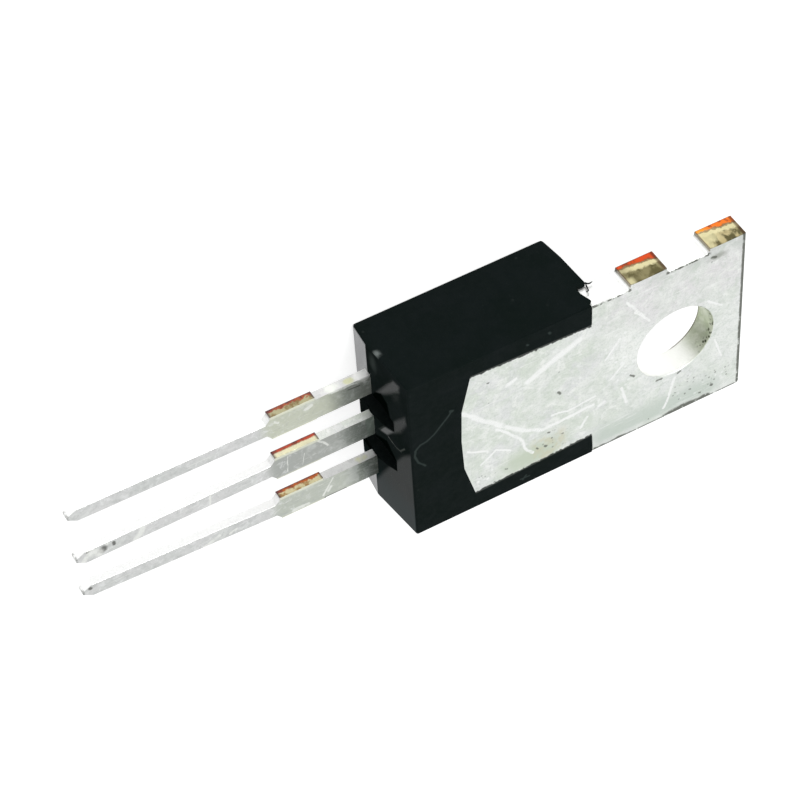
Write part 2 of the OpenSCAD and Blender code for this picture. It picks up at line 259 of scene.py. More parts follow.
class Shader:
    """Builds the node tree of one material around its Principled BSDF. Masks run from 0 to 1."""

    def __init__(self, name):
        self.mat = bpy.data.materials.new(name)
        self.mat.use_nodes = True
        self.tree = self.mat.node_tree
        self.bsdf = self.tree.nodes["Principled BSDF"]
        coord = self.tree.nodes.new("ShaderNodeTexCoord")
        self.point = self.vec("SCALE", coord.outputs["Object"], scale=1 / MM)
        self.x, self.y, self.z = self.split(self.point)
        self.nx, self.ny, self.nz = self.split(coord.outputs["Normal"])

    def split(self, vector):
        node = self.tree.nodes.new("ShaderNodeSeparateXYZ")
        self.tree.links.new(vector, node.inputs[0])
        return node.outputs

    def put(self, socket, value):
        if isinstance(value, bpy.types.NodeSocket):
            self.tree.links.new(value, socket)
        elif isinstance(value, (tuple, list)) and len(value) == 3 and socket.type == "RGBA":
            socket.default_value = (*value, 1)
        else:
            socket.default_value = value

    def math(self, kind, *values):
        node = self.tree.nodes.new("ShaderNodeMath")
        node.operation = kind
        for socket, value in zip(node.inputs, values):
            self.put(socket, value)
        return node.outputs[0]

    def chain(self, kind, first, *others):
        for other in others:
            first = self.math(kind, first, other)
        return first

    def size_of(self, value):
        return self.math("ABSOLUTE", value)

    def vec(self, kind, a, b=None, scale=None, out=0):
        node = self.tree.nodes.new("ShaderNodeVectorMath")
        node.operation = kind
        self.put(node.inputs[0], a)
        if b is not None:
            self.put(node.inputs[1], b)
        if scale is not None:
            self.put(node.inputs["Scale"], scale)
        return node.outputs[out]

    def ramp(self, value, low, high, to_low=0.0, to_high=1.0):
        """Smooth step from to_low at low to to_high at high."""
        node = self.tree.nodes.new("ShaderNodeMapRange")
        node.interpolation_type = "SMOOTHSTEP"
        self.put(node.inputs["Value"], value)
        self.put(node.inputs["From Min"], low)
        self.put(node.inputs["From Max"], high)
        node.inputs["To Min"].default_value = to_low
        node.inputs["To Max"].default_value = to_high
        return node.outputs[0]

    def noise(self, scale, detail=2.0, rough=0.5, at=None, warp=0.0, color=False):
        node = self.tree.nodes.new("ShaderNodeTexNoise")
        self.put(node.inputs["Vector"], self.point if at is None else at)
        node.inputs["Scale"].default_value = scale
        node.inputs["Detail"].default_value = detail
        node.inputs["Roughness"].default_value = rough
        node.inputs["Distortion"].default_value = warp
        return node.outputs["Color" if color else "Fac"]

    def ragged(self):
        """An uneven number from -0.5 to 0.5 that roughens straight borders."""
        return self.math("SUBTRACT", self.noise(5.0, 3.0, 0.6), 0.5)

    def cells(self, scale):
        """Distance to the nearest of many scattered points."""
        node = self.tree.nodes.new("ShaderNodeTexVoronoi")
        self.put(node.inputs["Vector"], self.point)
        node.inputs["Scale"].default_value = scale
        return node.outputs["Distance"]

    def mix(self, fac, a, b):
        node = self.tree.nodes.new("ShaderNodeMix")
        node.data_type = "RGBA"
        self.put(node.inputs["Factor"], fac)
        self.put(node.inputs["A"], a)
        self.put(node.inputs["B"], b)
        return node.outputs["Result"]

    def paint(self, color, *layers):
        """Lays tones over a colour, one after the other. Each layer is (tone, share, mask)."""
        for tone, share, mask in layers:
            color = self.mix(mask if share == 1 else self.part_of(mask, share), color, tone)
        return color

    def moved(self, *by):
        """The point shifted, so that two textures of one kind don't repeat each other."""
        return self.vec("ADD", self.point, by)

    def turned(self, degrees, along, across):
        """The point turned about Z and scaled, so that a texture is drawn out into streaks."""
        node = self.tree.nodes.new("ShaderNodeMapping")
        self.put(node.inputs["Vector"], self.point)
        node.inputs["Rotation"].default_value = (0, 0, math.radians(degrees))
        node.inputs["Scale"].default_value = (along, across, across)
        return node.outputs[0]

    def streaks(self, degrees, along, across, cut, seed):
        """Fine lines in one direction: the ridges of a drawn-out noise."""
        at = self.vec("ADD", self.turned(degrees, along, across), (seed, seed * 1.7, seed * 0.6))
        return self.ramp(self.noise(1.0, 2.0, 0.6, at=at), cut, cut + 0.04)

    def strokes(self, lines, wobble):
        """Mask of the listed strokes, whose paths wobble a little."""
        shake = self.vec("SUBTRACT", self.noise(2.2, color=True), (0.5, 0.5, 0.5))
        at = self.vec("ADD", self.point, self.vec("SCALE", shake, scale=wobble * 2))
        flat = self.vec("MULTIPLY", at, (1, 1, 0))
        least = None
        for width, path in lines:
            for a, b in zip(path, path[1:]):
                a, b = Vector((*a, 0)), Vector((*b, 0))
                away = self.vec("SUBTRACT", flat, a)
                run = b - a
                along = self.vec("DOT_PRODUCT", away, run.normalized(), out=1)
                held = self.math("MAXIMUM", self.math("MINIMUM", along, run.length), 0.0)
                foot = self.vec("SCALE", tuple(run.normalized()), scale=held)
                gap = self.math("DIVIDE", self.vec("DISTANCE", away, foot, out=1), width)
                least = gap if least is None else self.math("MINIMUM", least, gap)
        return self.ramp(least, 1.0, 0.35)

    def spot(self, at, size, soft=0.4, rag=0.0):
        """Mask of an ellipsoid: 1 at its middle, 0 outside. at and size in millimetres."""
        off = self.vec("SUBTRACT", self.point, at)
        far = self.vec("LENGTH", self.vec("MULTIPLY", off, tuple(1 / part for part in size)), out=1)
        if rag:
            far = self.math("ADD", far, self.part_of(self.noise(3.5, 3.0, 0.6), rag))
            far = self.math("SUBTRACT", far, rag / 2)
        return self.ramp(far, 1.0, 1.0 - soft)

    def outline(self, points, soft=0.06):
        """Mask of a convex outline given by its points in Y and Z."""
        middle = [sum(part) / len(points) for part in zip(*points)]
        least = None
        for a, b in zip(points, points[1:] + points[:1]):
            inward = Vector((0, a[1] - b[1], b[0] - a[0])).normalized()
            if inward.y * (middle[0] - a[0]) + inward.z * (middle[1] - a[1]) < 0:
                inward = -inward
            gap = self.vec("DOT_PRODUCT", self.point, tuple(inward), out=1)
            gap = self.math("SUBTRACT", gap, inward.y * a[0] + inward.z * a[1])
            least = gap if least is None else self.math("MINIMUM", least, gap)
        return self.ramp(least, -soft, soft)

    def most(self, *masks):
        return self.chain("MAXIMUM", *masks)

    def part_of(self, mask, share):
        return self.math("MULTIPLY", mask, share)

    def both(self, *masks):
        return self.chain("MULTIPLY", *masks)

    def total(self, *values):
        return self.chain("ADD", *values)

    def inside(self, value, low, high, soft=0.03):
        """1 between low and high, fading out over soft."""
        return self.both(self.ramp(value, low - soft, low), self.ramp(value, high + soft, high))

    def bump(self, height, depth_mm):
        node = self.tree.nodes.new("ShaderNodeBump")
        node.inputs["Strength"].default_value = 1.0
        node.inputs["Distance"].default_value = depth_mm * MM
        self.put(node.inputs["Height"], height)
        return node.outputs[0]

    def finish(self, color, rough, normal, **uniform):
        self.put(self.bsdf.inputs["Base Color"], color)
        self.put(self.bsdf.inputs["Roughness"], rough)
        self.put(self.bsdf.inputs["Normal"], normal)
        for name, value in uniform.items():
            self.bsdf.inputs[name.replace("_", " ")].default_value = value
        return self.mat


# ---------------------------------------------------------------- materials


def tin_ground(s, patch, grit):
    """Tones of the plating: broad clouds first, then patches, flecks and grit."""
    cloud = s.noise(0.55, 3.0, 0.55)
    tint = s.noise(0.9, 3.0, 0.5, at=s.moved(3, 6, 1), warp=0.5)
    flecks = s.noise(3.4, 5.0, 0.7, warp=0.8)
    soft_spots = s.noise(4.2, 2.0, 0.5, at=s.moved(2, 2, 7), warp=0.4)
    color = s.mix(s.ramp(cloud, 0.36, 0.66), (0.745, 0.79, 0.715), (0.85, 0.865, 0.835))
    upper = s.both(s.ramp(s.x, -4.2, -2.5), s.ramp(s.y, 0.0, 3.4), s.ramp(tint, 0.35, 0.60, 0.4, 1.0))
    return s.paint(
        color,
        ((0.80, 0.795, 0.81), 0.6, s.ramp(tint, 0.50, 0.64)),
        ((0.90, 0.915, 0.895), 1, s.ramp(s.x, -4.2, -1.5, 0.0, 0.35)),
        ((0.83, 0.80, 0.815), 0.85, upper),
        ((0.97, 0.98, 0.95), 0.75, s.spot((-2.3, 0.9, 0), (1.6, 2.4, 2.0), 0.9)),
        ((0.95, 0.955, 0.925), 0.75, s.ramp(patch, 0.50, 0.68)),
        ((0.63, 0.69, 0.61), 0.55, s.ramp(patch, 0.47, 0.30)),
        ((0.96, 0.965, 0.95), 0.45, s.ramp(flecks, 0.54, 0.64)),
        ((0.58, 0.62, 0.57), 0.45, s.ramp(flecks, 0.43, 0.33)),
        ((0.96, 0.96, 0.945), 0.22, s.ramp(soft_spots, 0.54, 0.64)),
        ((0.60, 0.63, 0.59), 0.22, s.ramp(soft_spots, 0.44, 0.36)),
        ((0.60, 0.63, 0.59), 0.36, s.ramp(grit, 0.50, 0.64)))


def tin_stains(s, color):
    """The greyer lower edge, the dull and yellowish places beside the resin, and the shaded far edge."""
    lower = s.both(s.inside(s.x, BODY_END + 9.1, BODY_END + 14.4, 0.9), s.ramp(s.y, -2.6, -3.7),
                   s.ramp(s.y, -4.3, -3.95, 0.2, 1.0))
    stain = s.both(s.inside(s.x, BODY_END + 5.9, BODY_END + 7.0, 0.5), s.ramp(s.y, -1.7, -2.4),
                   s.ramp(s.noise(2.6, 3.0), 0.38, 0.6))
    shade = s.both(s.ramp(s.y, 3.7, 4.4), s.ramp(s.x, -1.8, -0.6),
                   s.ramp(s.noise(1.3, 3.0, 0.6), 0.40, 0.58, 0.3, 1.0))
    return s.paint(
        color,
        ((0.60, 0.66, 0.60), 0.8, lower),
        ((0.62, 0.68, 0.56), 0.95, s.spot((-7.1, -2.9, 0), (2.3, 1.1, 1.0), 0.8, 0.5)),
        ((0.66, 0.63, 0.46), 0.6, stain),
        ((0.58, 0.61, 0.57), 0.6, shade),
        ((0.40, 0.41, 0.37), 0.8, s.spot((1.95, 4.08, 0), (0.65, 0.28, 1), 0.8, 0.9)))


def tin_scratches(s, flat):
    """Mask of the scratches: fine ones by direction, and the long ones where they are."""
    where = s.noise(0.8, 2.0, 0.5, at=s.moved(7.0, 3.0, 0))
    fine = s.most(s.streaks(38, 0.5, 9, 0.62, seed=2.0), s.streaks(-52, 0.5, 8, 0.64, seed=9.0),
                  s.streaks(80, 0.6, 9, 0.65, seed=5.0))
    fine = s.both(fine, s.ramp(where, 0.42, 0.62))
    long = s.both(s.strokes(TAB_SCRATCHES, 0.09), s.ramp(s.noise(2.6, 3.0, 0.7), 0.30, 0.50, 0.55, 1.0))
    return s.both(s.most(s.part_of(fine, 0.45), s.both(long, s.ramp(s.nz, 0.0, 0.1))), flat)


def tin_chips(s, flat):
    """Mask of the pale chips near the lower edges."""
    chipped = s.most(s.spot((-9.3, -2.9, 0), (1.0, 0.7, 1), 0.8, 0.6),
                     s.spot((-3.7, -1.7, 0), (0.7, 0.6, 1), 0.8, 0.6),
                     s.spot((1.4, -3.2, 0), (1.9, 1.1, 1), 0.8, 0.6),
                     s.spot((-2.6, 0.6, 0), (1.6, 3.6, 1), 0.8, 0.6))
    return s.both(s.ramp(s.cells(2.9), 0.30, 0.16), s.ramp(s.noise(1.7), 0.36, 0.46), chipped, flat)


def tin_specks(s):
    """Mask of the dark specks: scattered pits, larger ones where they are, and grains in dirty places."""
    sparse = s.ramp(s.noise(0.7, 1.0, at=s.moved(1, 9, 4)), 0.52, 0.60)
    pits = s.both(s.ramp(s.cells(1.6), 0.085, 0.03), sparse)
    spots = s.strokes(TAB_SPECKS, 0.12)
    dirty = s.most(s.spot((0.6, -3.3, 0), (1.3, 1.1, 1), 0.8, 0.6),
                   s.spot((-5.9, -2.5, 0), (1.0, 0.9, 1), 0.8, 0.6),
                   s.spot((-9.4, -3.0, 0), (0.8, 0.5, 1), 0.8, 0.6),
                   s.spot((2.2, -3.4, 0), (1.2, 0.9, 1), 0.8, 0.6))
    grains = s.both(s.ramp(s.cells(4.5), 0.29, 0.14), s.ramp(s.noise(2.0), 0.40, 0.50), dirty)
    dark = s.most(s.part_of(pits, 0.7), s.part_of(spots, 0.8), s.part_of(grains, 0.75))
    return s.both(dark, s.ramp(s.nz, 0.6, 0.9))


def tin_outline(s, along):
    """Mask of the sheared outline of the tab: a thin broken dark line at its end and its two sides. The
    line at its end is painted shade of the rounded end edge.
    """
    broken = s.noise(3.0, 3.0, 0.7, at=s.moved(3, 1, 0))
    # painted shade: the dark line along the tab's end stands in for the shading of its rounded edge
    ragged_x = s.total(s.x, s.part_of(broken, 0.10))
    end_shade_line = s.both(s.ramp(ragged_x, TAB_END - 0.13, TAB_END - 0.07), s.ramp(broken, 0.28, 0.42))
    low_line = s.both(s.ramp(s.y, -TAB_HALF + 0.13, -TAB_HALF + 0.06), s.ramp(broken, 0.38, 0.48))
    top_line = s.both(s.inside(s.y, TAB_HALF - 0.08, TAB_HALF + 0.03, 0.04), s.ramp(broken, 0.44, 0.54),
                      s.ramp(s.size_of(along), 0.78, 0.90))
    burrs = s.both(s.strokes(TAB_BURRS, 0.14), s.ramp(broken, 0.32, 0.42))
    lines = s.most(end_shade_line, s.most(low_line, burrs), top_line)
    return s.both(lines, s.ramp(s.z, -0.12, -0.08), s.ramp(s.x, TAB_START - 0.01, TAB_START + 0.09))


def stub_face_color(s, along, rag, soft):
    """Sheared faces of the tie bar stubs: olive, a cream streak and bare copper at the far edge."""
    second = s.ramp(s.x, *BETWEEN_STUBS)
    depth = s.total(s.part_of(s.z, -1.0), s.part_of(rag, 0.35))
    tilted = s.total(depth, s.part_of(along, 0.14))
    pale = s.most(s.both(second, s.ramp(along, 0.1, -0.5), s.ramp(depth, 0.15, 0.4)),
                  s.both(s.ramp(along, -0.45, -0.7), s.ramp(depth, 0.5, 0.2)))
    streak = s.part_of(s.inside(tilted, 0.68, 0.84, 0.12), s.ramp(along, -0.8, -0.1, 0.45, 0.85))
    copper = s.paint(
        s.mix(second, (0.66, 0.075, 0.014), (0.90, 0.20, 0.022)),
        ((0.30, 0.06, 0.02), 1, s.ramp(soft, 0.5, 0.64)),
        ((0.95, 0.36, 0.04), 1, s.both(second, s.ramp(along, -0.2, -0.7))))
    rim = s.most(s.ramp(s.z, -TAB_T + 0.07, -TAB_T + 0.02), s.ramp(s.size_of(along), 0.80, 0.87),
                 s.ramp(along, 0.68, 0.80))
    return s.paint(
        s.mix(s.ramp(soft, 0.38, 0.62), (0.11, 0.095, 0.038), (0.25, 0.22, 0.11)),
        ((0.50, 0.42, 0.22), 1, s.both(s.ramp(soft, 0.45, 0.6), second)),
        ((0.74, 0.68, 0.40), 0.75, pale),
        ((0.78, 0.71, 0.42), 1, streak),
        ((0.16, 0.07, 0.02), 0.6, s.inside(tilted, 0.87, 0.92, 0.05)),
        (copper, 1, s.ramp(tilted, 0.90, 0.99)),
        ((0.07, 0.03, 0.018), 0.75, rim))


def hole_wall_color(s):
    """Wall of the hole: green and dull at the tab's end, and painted white as a highlight on its lower
    side and towards the lead end.
    """
    specks = s.both(s.ramp(s.cells(6.0), 0.42, 0.26), s.ramp(s.x, 1.1, 1.4), s.ramp(s.z, -0.40, -0.22))
    far_rim = s.both(s.ramp(s.z, -TAB_T + 0.09, -TAB_T + 0.04), s.ramp(s.x, 0.3, 0.7))
    return s.paint(
        s.mix(s.ramp(s.noise(1.6, 3.0, 0.6), 0.35, 0.65), (0.50, 0.56, 0.39), (0.68, 0.72, 0.58)),
        ((0.08, 0.10, 0.05), 1, specks),
        # painted highlight: the wall facing +Y and the wall towards -X painted white, where the lamp
        # falls
        ((0.95, 0.955, 0.92), 1, s.ramp(s.ny, 0.60, 0.98)),
        ((0.985, 0.985, 0.97), 1, s.ramp(s.x, 0.3, -0.5)),
        ((0.12, 0.10, 0.06), 0.8, far_rim))


def resin_bleed(s, rag):
    """Mask of the resin bled over the edges of the pad."""
    edge = s.math("SUBTRACT", PAD_HALF - 0.08, s.size_of(s.y))
    edge = s.math("SUBTRACT", edge, s.part_of(s.total(s.x, -PAD_START), PAD_TAPER))
    bleed = s.total(edge, s.part_of(rag, 0.34))
    return s.both(s.ramp(bleed, 0.035, -0.01), s.ramp(s.x, TAB_START, TAB_START - 0.06),
                  s.ramp(s.nz, 0.7, 0.9), s.ramp(s.z, -0.4, -0.2))


def tin_material():
    """Dull mottled tin plating on the pad, the tab, its sheared edges and its hole."""
    s = Shader("tin_plate")
    patch = s.noise(1.9, 4.0, 0.6, warp=0.6)
    grit = s.noise(11.0, 3.0, 0.65)
    rag = s.ragged()
    soft = s.noise(2.0, 3.0, 0.55, at=s.turned(0, 1.4, 0.9), warp=0.4)
    flat = s.ramp(s.size_of(s.nz), 0.7, 0.95)
    along = s.total(s.x, s.ramp(s.x, *BETWEEN_STUBS, *(-at for at in STUBS)))  # from a stub's middle
    off = s.vec("LENGTH", s.vec("MULTIPLY", s.point, (1, 1, 0)), out=1)  # from the hole's axis

    marks = tin_scratches(s, flat)
    # dark specks, and the tab's dark outline, whose line at the end is painted shade
    dark = s.most(tin_specks(s), s.part_of(tin_outline(s, along), 0.9))
    sheared = s.both(s.ramp(s.ny, 0.6, 0.8), s.ramp(s.y, TAB_HALF + 0.13, TAB_HALF + 0.18))
    # painted highlight: the tab's side faces painted near white
    cut_side_highlight = s.both(s.ramp(s.size_of(s.ny), 0.7, 0.9), s.ramp(s.x, TAB_START - 0.01, TAB_START + 0.09),
                      s.ramp(off, HOLE_R + 0.325, HOLE_R + 0.525), s.ramp(sheared, 0.5, 0.1))
    stub_side = s.both(s.ramp(s.size_of(s.nx), 0.6, 0.8), s.ramp(s.y, TAB_HALF + 0.05, TAB_HALF + 0.13))
    wall = s.both(s.ramp(off, HOLE_R + 0.175, HOLE_R + 0.075), s.ramp(s.size_of(s.nz), 0.75, 0.45))
    film = resin_bleed(s, rag)
    color = s.paint(
        tin_stains(s, tin_ground(s, patch, grit)),
        ((1.0, 1.0, 0.985), 0.97, marks),
        ((1.0, 1.0, 0.99), 0.85, tin_chips(s, flat)),
        ((0.10, 0.105, 0.085), 1, dark),
        (stub_face_color(s, along, rag, soft), 1, sheared),
        ((0.98, 0.985, 0.975), 0.85, cut_side_highlight),
        ((0.24, 0.20, 0.13), 0.8, stub_side),
        (hole_wall_color(s), 1, wall),
        ((0.010, 0.014, 0.012), 0.92, film))

    rough = s.total(s.ramp(patch, 0.3, 0.7, 0.30, 0.44), s.part_of(marks, -0.08), s.part_of(film, 0.25))
    height = s.total(s.part_of(grit, 0.5), s.part_of(patch, 1.2), s.part_of(marks, -0.6),
                     s.part_of(s.both(sheared, soft), 2.5))
    return s.finish(color, rough, s.bump(height, 0.012), Metallic=0.85)


def lead_ground(s, by_lead, cloud, drawn, grit, top):
    """Tones of the leads: bright narrow ends with a painted highlight on their sides, duller wide parts,
    and roots darkened partly by tarnish and partly by painted shade.
    """
    tint = s.noise(0.8, 3.0, 0.55, at=s.moved(4, 8, 2))
    # painted highlight: the side faces of the narrow lead ends, painted near white as if lit
    flank_highlight = s.both(s.ramp(s.size_of(s.ny), 0.5, 0.8), s.ramp(s.x, WIDE_END + 0.4, WIDE_END - 0.4))
    wide = by_lead((0.62, 0.64, 0.53), (0.44, 0.45, 0.425), (0.56, 0.585, 0.52))
    # darker roots: partly tarnish, partly painted shade of the body over the leads
    root = by_lead((0.27, 0.29, 0.255), (0.20, 0.22, 0.196), (0.175, 0.195, 0.172))
    starts = s.total(s.x, s.part_of(cloud, 0.9), s.part_of(s.y, 0.12))
    near_root = s.ramp(starts, BODY_END - 1.75, BODY_END - 0.55)
    mottle = s.noise(3.0, 4.0, 0.7, at=s.moved(6, 2, 5), warp=0.5)
    pale = s.both(s.ramp(mottle, 0.52, 0.66), s.ramp(s.x, WIDE_END - 0.4, WIDE_END + 1.8, 0.55, 0.18))
    return s.paint(
        s.mix(s.ramp(tint, 0.35, 0.65), (0.665, 0.67, 0.66), (0.73, 0.72, 0.72)),
        ((0.90, 0.90, 0.895), 1, flank_highlight),
        (wide, 1, s.both(top, s.ramp(s.x, WIDE_END - 0.7, WIDE_END + 0.1))),
        (root, 1, s.both(top, near_root)),
        ((0.86, 0.875, 0.85), 0.35, s.ramp(cloud, 0.54, 0.68)),
        ((0.42, 0.44, 0.43), 0.25, s.ramp(cloud, 0.46, 0.34)),
        ((0.84, 0.84, 0.83), 0.22, s.ramp(drawn, 0.55, 0.72)),
        ((0.44, 0.46, 0.44), 0.22, s.ramp(grit, 0.5, 0.68)),
        ((0.90, 0.90, 0.90), 1, pale),
        ((0.46, 0.47, 0.46), 0.35, s.ramp(mottle, 0.47, 0.33)),
        ((0.92, 0.92, 0.915), 0.75, flank_highlight))


def lead_stains(s, color, cloud, rag, top):
    """Resin film on the roots, yellow blots on two of them, and a painted highlight on the side of the
    first lead.
    """
    film = s.both(s.ramp(s.total(s.x, s.part_of(rag, 0.3)), BODY_END - 0.66, BODY_END - 0.56),
                  s.inside(s.y, -WIDE_HALF, WIDE_HALF, 0.05), top)
    blots = s.most(s.spot((-13.80, 3.05, -2.86), (0.34, 0.14, 0.22), 0.7, 1.0),
                   s.spot((-13.52, -1.95, -2.86), (0.32, 0.14, 0.22), 0.7, 1.0))
    return s.paint(
        color,
        ((0.25, 0.31, 0.26), 0.5, film),
        ((0.66, 0.67, 0.26), 1, s.both(blots, s.ramp(cloud, 0.35, 0.6, 0.15, 0.6))),
        # painted highlight: the lit side of the first lead near its root
        ((0.97, 0.97, 0.95), 1, s.spot((-13.15, 3.06, -2.9), (0.5, 0.16, 0.5), 0.5, 0.5)),
        ((0.90, 0.92, 0.86), 1, s.spot((-14.6, 3.02, -2.9), (0.5, 0.10, 0.4), 0.6, 0.8)))


def dam_bar_color(s, by_lead, rag, patchy, bar):
    """Sheared dam bars: copper at the far edge, tin smeared over the near one."""
    mixed = by_lead((0.55, 0.55, 0.55), (0.10, 0.10, 0.10), (0.32, 0.32, 0.32))
    depth = s.math("SUBTRACT", s.part_of(s.z, -1.0), LEAD_Z)
    depth = s.total(depth, s.part_of(rag, mixed))
    cream = s.mix(s.ramp(patchy, 0.45, 0.6),
                  by_lead((0.44, 0.41, 0.25), (0.83, 0.80, 0.55), (0.68, 0.62, 0.38)),
                  by_lead((0.25, 0.18, 0.08), (0.76, 0.73, 0.52), (0.40, 0.25, 0.10)))
    copper = by_lead((0.40, 0.11, 0.055), (0.50, 0.085, 0.045), (0.50, 0.13, 0.035))
    copper = s.mix(s.ramp(s.noise(4.0, 2.0), 0.42, 0.62), copper, (0.26, 0.07, 0.045))
    rim = s.most(s.ramp(depth, 0.35, 0.40), s.ramp(bar, DAM_HALF - 0.145, DAM_HALF - 0.025))
    return s.paint(cream, (copper, 1, s.ramp(depth, 0.19, 0.28)), ((0.085, 0.05, 0.06), 0.8, rim))


def lead_scratches(s, top):
    """Mask of the scratches along the leads, and of the long ones where they are."""
    fine = s.most(s.streaks(2, 0.35, 13, 0.66, seed=3.0), s.streaks(60, 0.8, 8, 0.68, seed=8.0))
    fine = s.both(fine, s.ramp(s.x, BODY_END - 0.8, BODY_END - 3.5, 0.15, 0.5))
    long = s.both(s.strokes(LEAD_SCRATCHES, 0.08), s.ramp(s.noise(3.5, 3.0, 0.7), 0.32, 0.58, 0.25, 0.9))
    return s.both(s.most(fine, long), top)


def lead_material():
    """Tin plating of the leads, with their sheared dam bars and tips."""
    s = Shader("lead_tin")
    cloud = s.noise(1.1, 3.0, 0.6, warp=0.5)
    drawn = s.noise(1.0, 3.0, 0.6, at=s.turned(0, 0.9, 14))
    grit = s.noise(14.0, 3.0, 0.65)
    patchy = s.noise(2.6, 3.0, 0.65)
    rag = s.ragged()
    top = s.ramp(s.nz, 0.5, 0.9)
    half = PITCH / 2
    first = s.ramp(s.y, half - 0.1, half + 0.1)
    third = s.ramp(s.y, -half + 0.1, -half - 0.1)

    def by_lead(one, two, three):
        return s.mix(third, s.mix(first, two, one), three)

    local = s.math("SUBTRACT", s.math("FLOORED_MODULO", s.total(s.y, half), PITCH), half)
    side = s.size_of(local)
    bar = s.size_of(s.math("SUBTRACT", s.x, DAM_AT))
    cut = s.both(s.ramp(s.size_of(s.ny), 0.6, 0.8), s.ramp(side, WIDE_HALF + 0.025, WIDE_HALF + 0.04),
                 s.ramp(bar, DAM_HALF + 0.075, DAM_HALF + 0.035))
    lip = s.both(top, s.ramp(side, WIDE_HALF - 0.06, WIDE_HALF + 0.04),
                 s.ramp(bar, DAM_HALF + 0.095, DAM_HALF + 0.025))
    worn = s.both(third, s.ramp(local, -NARROW_HALF + 0.07, -NARROW_HALF),
                  s.ramp(s.x, WIDE_END - 0.8, WIDE_END - 1.6), s.ramp(rag, -0.16, 0.02))
    # painted shade: the ends of the tips darkened
    tip_shade = s.both(s.ramp(s.x, TIP_X + 0.11, TIP_X + 0.03), s.ramp(rag, -0.1, 0.1))
    ground = lead_ground(s, by_lead, cloud, drawn, grit, top)
    color = s.paint(
        lead_stains(s, ground, cloud, rag, top),
        (dam_bar_color(s, by_lead, rag, patchy, bar), 1, cut),
        ((0.88, 0.88, 0.72), 0.7, lip),
        ((0.11, 0.11, 0.10), 0.85, s.both(s.strokes(LEAD_SPOTS, 0.03), top)),
        ((0.22, 0.22, 0.21), 0.7, worn),
        ((0.16, 0.16, 0.15), 0.7, tip_shade),
        ((0.95, 0.95, 0.91), 0.8, lead_scratches(s, top)))

    rough = s.ramp(cloud, 0.3, 0.7, 0.30, 0.46)
    height = s.total(s.part_of(drawn, 1.0), s.part_of(grit, 0.4), s.part_of(s.both(cut, patchy), 2.0))
    return s.finish(color, rough, s.bump(height, 0.010), Metallic=0.85)


def resin_material():
    """Black moulding resin, with a little dust and a few scuffs on its back."""
    s = Shader("resin")
    cloud = s.noise(0.5, 3.0, 0.6)
    grain = s.noise(22.0, 3.0, 0.7)
    sparse = s.ramp(s.noise(0.6, 1.0, at=s.moved(5, 2, 8)), 0.5, 0.6)
    dust = s.both(s.ramp(s.cells(0.9), 0.09, 0.03), sparse)
    scuffs = s.both(s.strokes(RESIN_SCUFFS, 0.06), s.ramp(s.nz, 0.7, 0.9))
    smudge = s.spot((BODY_END - 0.10, 4.68, -2.20), (0.26, 0.3, 0.26), 0.9, 0.9)
    color = s.paint(
        s.mix(s.ramp(cloud, 0.3, 0.7), (0.0032, 0.0064, 0.0056), (0.0050, 0.0080, 0.0080)),
        ((0.011, 0.015, 0.014), 0.3, s.ramp(grain, 0.55, 0.75)),
        ((0.045, 0.060, 0.056), 0.45, scuffs),
        ((0.08, 0.09, 0.085), 0.25, dust),
        ((0.17, 0.19, 0.185), 0.85, smudge))
    rough = s.ramp(s.noise(3.0, 3.0, 0.6), 0.3, 0.7, 0.50, 0.68)
    height = s.total(s.part_of(grain, 0.6), s.part_of(s.noise(5.0, 2.0), 0.8))
    return s.finish(color, rough, s.bump(height, 0.010), Specular_IOR_Level=0.03)


def resin_end_material():
    """The lead end of the body: dull, with polished areas that mirror what lies below, and painted
    reflection and painted shade in its colour.
    """
    s = Shader("resin_end")
    front = s.ramp(s.z, -PARTING + 0.03, -PARTING - 0.01)
    # painted reflection: a grey-blue spot near the +Y side of the lead end
    painted_reflection_spot = s.spot((BODY_END, 4.0, -2.4), (1, 0.75, 0.4), 0.9, 0.5)
    from_middle = s.size_of(s.math("SUBTRACT", s.y, -0.6))
    # painted shade: near-black areas between the leads, where the coat is also taken away
    painted_shade = s.most(*(s.outline(points) for points in PAINTED_SHADE_AREAS))
    polished = s.most(
        s.both(front, s.ramp(s.y, 1.85, 1.95)),
        s.both(front, s.ramp(s.y, -3.0, -3.1)),
        *(s.part_of(s.outline(points, soft), share) for share, soft, points in POLISHED),
        s.part_of(s.spot((BODY_END, 3.4, -0.85), (1, 0.9, 0.5), 0.9), 0.05))
    color = s.paint(
        s.mix(s.ramp(s.noise(0.8, 3.0, 0.6), 0.35, 0.65), (0.0085, 0.0125, 0.0115),
              (0.0125, 0.0165, 0.0165)),
        ((0.045, 0.055, 0.052), 0.8, painted_reflection_spot),
        # painted reflection: lighter and bluer towards the -Y side of the lead end
        ((0.010, 0.020, 0.021), 1, s.ramp(s.y, -2.2, -3.6)),
        # painted reflection: the front facet outside the outer leads painted lighter grey
        ((0.09, 0.095, 0.105), 1, s.both(front, s.ramp(from_middle, 2.45, 2.55))),
        ((0.0008, 0.0020, 0.0014), 1, painted_shade))
    rough = s.ramp(s.noise(1.6, 3.0, 0.6), 0.3, 0.7, 0.50, 0.64)
    height = s.total(s.part_of(s.noise(0.9, 2.0), 1.0), s.part_of(s.noise(22.0, 3.0, 0.7), 0.05))
    s.put(s.bsdf.inputs["Coat Weight"], s.both(polished, s.ramp(painted_shade, 1.0, 0.0)))
    return s.finish(color, rough, s.bump(height, 0.02), Specular_IOR_Level=0.0, Coat_Roughness=0.10,
                    Coat_IOR=1.8)


